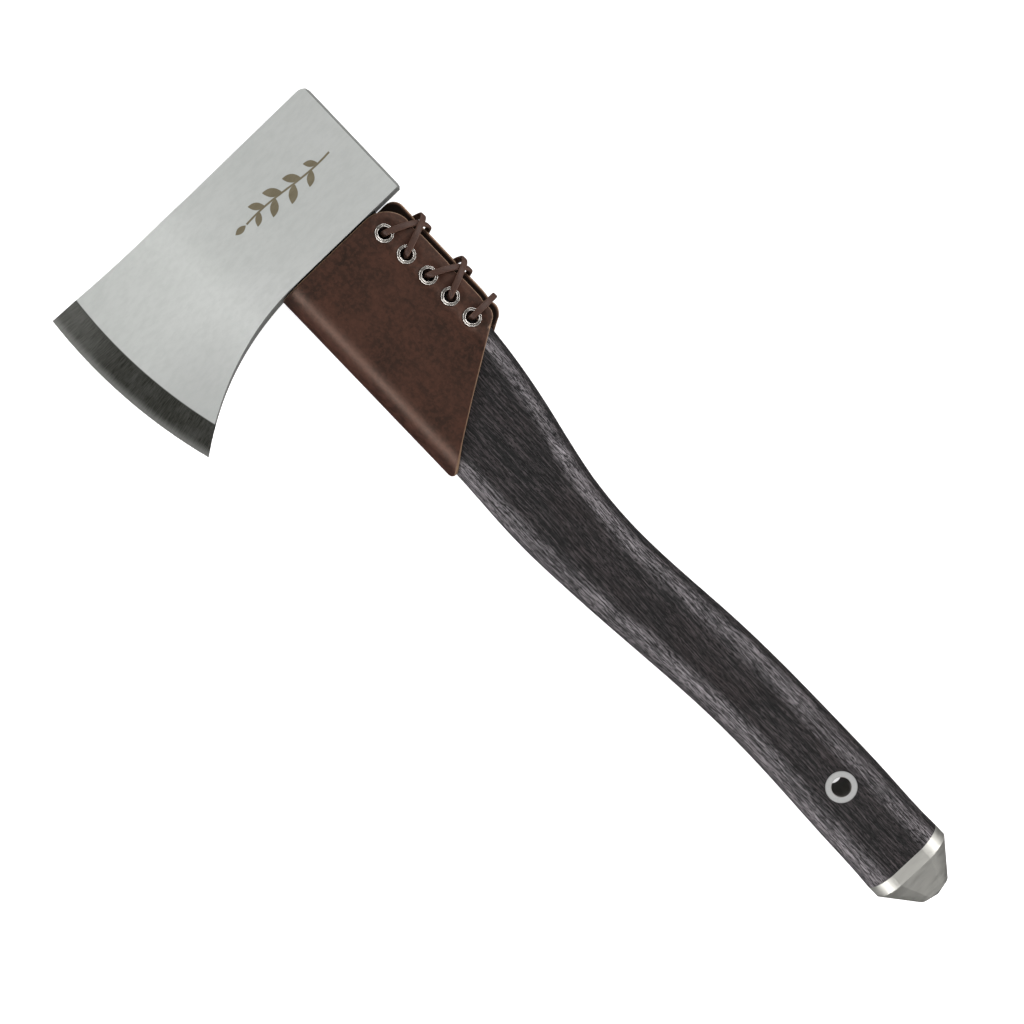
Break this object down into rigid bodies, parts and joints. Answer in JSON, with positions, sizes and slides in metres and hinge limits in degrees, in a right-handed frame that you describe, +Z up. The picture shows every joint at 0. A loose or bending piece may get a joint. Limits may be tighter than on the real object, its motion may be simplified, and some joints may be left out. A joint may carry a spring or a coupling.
{
  "type": "carving hatchet",
  "caption": "Short-handled carving hatchet: flared steel head with a ground bevel, swept black wooden haft, laced leather collar, lanyard tube and steel butt cap.",
  "frame": {"origin": "centre of the footprint of the tool lying on its side, at the surface it lies on", "axes": "+X along the haft towards the head, +Y towards the cutting edge, +Z up through the thickness"},
  "size_m": [0.407, 0.1356, 0.03],
  "materials": {
    "head_steel": "bead-blasted satin with a polished ground bevel",
    "stained_wood": "black stain, oiled, open grain",
    "wedge_wood": "plain sawn hardwood",
    "wedge_steel": "as forged",
    "tube_steel": "satin",
    "cap_steel": "brushed",
    "stud_steel": "plain zinc",
    "collar_leather": "oiled, smooth grain side out",
    "lace_leather": "waxed",
    "eyelet_nickel": "polished nickel"
  },
  "bodies": {
    "root": {"head": "head_steel", "haft": "stained_wood", "eye_wedge": "wedge_wood", "cross_wedge_poll": "wedge_steel", "cross_wedge_edge": "wedge_steel", "lanyard_tube": "tube_steel", "butt_cap": "cap_steel", "butt_stud": "stud_steel", "collar": "collar_leather", "lace": "lace_leather", "lace_knot": "lace_leather", "eyelet_near_1": "eyelet_nickel", "washer_near_1": "eyelet_nickel", "eyelet_near_2": "eyelet_nickel", "washer_near_2": "eyelet_nickel", "eyelet_near_3": "eyelet_nickel", "washer_near_3": "eyelet_nickel", "eyelet_near_4": "eyelet_nickel", "washer_near_4": "eyelet_nickel", "eyelet_near_5": "eyelet_nickel", "washer_near_5": "eyelet_nickel", "eyelet_far_1": "eyelet_nickel", "washer_far_1": "eyelet_nickel", "eyelet_far_2": "eyelet_nickel", "washer_far_2": "eyelet_nickel", "eyelet_far_3": "eyelet_nickel", "washer_far_3": "eyelet_nickel", "eyelet_far_4": "eyelet_nickel", "washer_far_4": "eyelet_nickel", "eyelet_far_5": "eyelet_nickel", "washer_far_5": "eyelet_nickel"}
  },
  "joints": []
}
